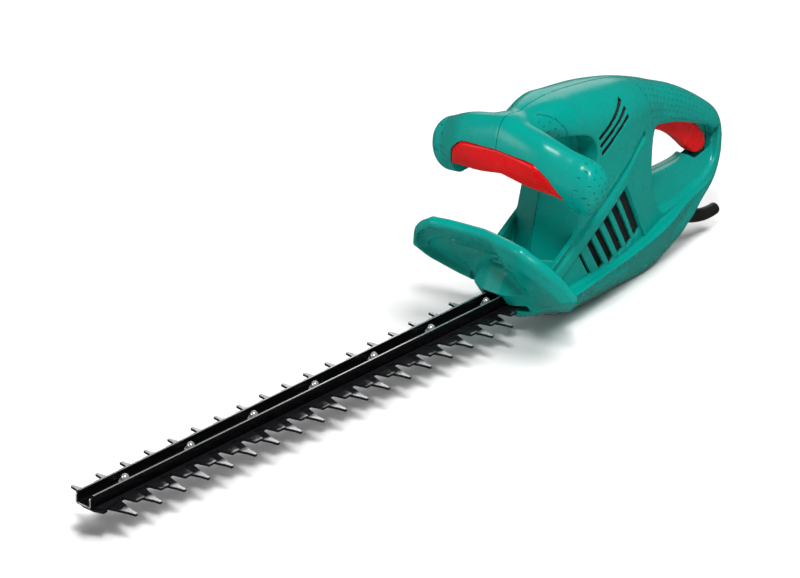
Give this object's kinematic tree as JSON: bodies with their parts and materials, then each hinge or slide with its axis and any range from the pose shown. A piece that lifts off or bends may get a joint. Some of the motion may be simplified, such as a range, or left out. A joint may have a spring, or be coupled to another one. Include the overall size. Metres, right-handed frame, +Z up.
{
  "type": "electric hedge trimmer",
  "caption": "Electric hedge trimmer: double-edged toothed blade under a long rail, hand guard, T-shaped front handle with switch bar, and a closed rear handle with trigger.",
  "frame": {"origin": "bottom centre of the bounding box, on the flat underside of the body", "axes": "-X along the blade to its tip, +X to the rear handle, -Y the left side, +Z up"},
  "size_m": [0.7645, 0.174, 0.1948],
  "materials": {
    "green_shell": "satin moulded polymer",
    "red_switch": "satin moulded polymer",
    "blade_steel": "ground edges",
    "black_steel": "black coating",
    "fastener": "zinc plated",
    "copper": "varnished",
    "alloy": "cast",
    "laminate": "laminated",
    "nylon": "matt",
    "black_plastic": "matt",
    "carbon": "matt",
    "soft_black": "matt"
  },
  "bodies": {
    "housing": {"housing_left": "green_shell", "housing_right": "green_shell", "hand_guard": "green_shell", "comb_blade": "blade_steel", "blade_rail": "black_steel", "blade_nut_1": "fastener", "blade_bolt_1": "fastener", "blade_nut_2": "fastener", "blade_bolt_2": "fastener", "blade_nut_3": "fastener", "blade_bolt_3": "fastener", "blade_nut_4": "fastener", "blade_bolt_4": "fastener", "blade_nut_5": "fastener", "blade_bolt_5": "fastener", "blade_nut_6": "fastener", "blade_bolt_6": "fastener", "blade_nut_7": "fastener", "blade_bolt_7": "fastener", "housing_screw_1": "fastener", "housing_screw_2": "fastener", "housing_screw_3": "fastener", "housing_screw_4": "fastener", "housing_screw_5": "fastener", "housing_screw_6": "fastener", "housing_screw_7": "fastener", "housing_screw_8": "fastener", "housing_screw_9": "fastener", "lower_bearing": "fastener", "upper_bearing": "fastener", "trigger_pin": "fastener", "base_plate": "fastener", "gear_bush": "copper", "gear_plate": "alloy", "field_core": "laminate", "field_coil_left": "copper", "field_coil_right": "copper", "brush_holder_left": "copper", "brush_holder_right": "copper", "carbon_brush_left": "carbon", "carbon_brush_right": "carbon", "rear_switch": "black_plastic", "front_switch": "black_plastic", "capacitor": "nylon", "cord_sleeve": "soft_black"},
    "rotor": {"motor_shaft": "fastener", "armature_core": "laminate", "commutator": "copper", "cooling_fan": "black_plastic", "pinion": "fastener"},
    "crank_gear": {"drive_gear": "nylon", "crank_pin": "fastener", "gear_shaft": "fastener"},
    "cutter": {"cutter_blade": "blade_steel"},
    "rear_trigger": {"trigger": "red_switch"},
    "front_bar": {"front_switch_bar": "red_switch"}
  },
  "joints": [
    {"name": "rotor_spin", "type": "hinge", "parent": "housing", "child": "rotor", "pos_m": [0.1917, 0, 0.0545], "axis": [0, 0, 1], "continuous": true},
    {"name": "gear_spin", "type": "hinge", "parent": "housing", "child": "crank_gear", "pos_m": [0.1577, 0, 0.0395], "axis": [0, 0, 1], "continuous": true},
    {"name": "cutter_slide", "type": "slide", "parent": "housing", "child": "cutter", "axis": [1, 0, 0], "range_m": [-0.012, 0.006]},
    {"name": "trigger_squeeze", "type": "hinge", "parent": "housing", "child": "rear_trigger", "pos_m": [0.2787, 0, 0.1345], "axis": [0, -1, 0], "range_deg": [0, 4], "stiffness_Nm_per_rad": 1.5, "springref_deg": -5.73},
    {"name": "bar_press", "type": "slide", "parent": "housing", "child": "front_bar", "axis": [1, 0, 0], "range_m": [0, 0.004], "stiffness_N_per_m": 1500, "springref_m": -0.004}
  ],
  "couplings": [
    {"joint": "gear_spin", "follows": "rotor_spin", "ratio": -0.25}
  ]
}
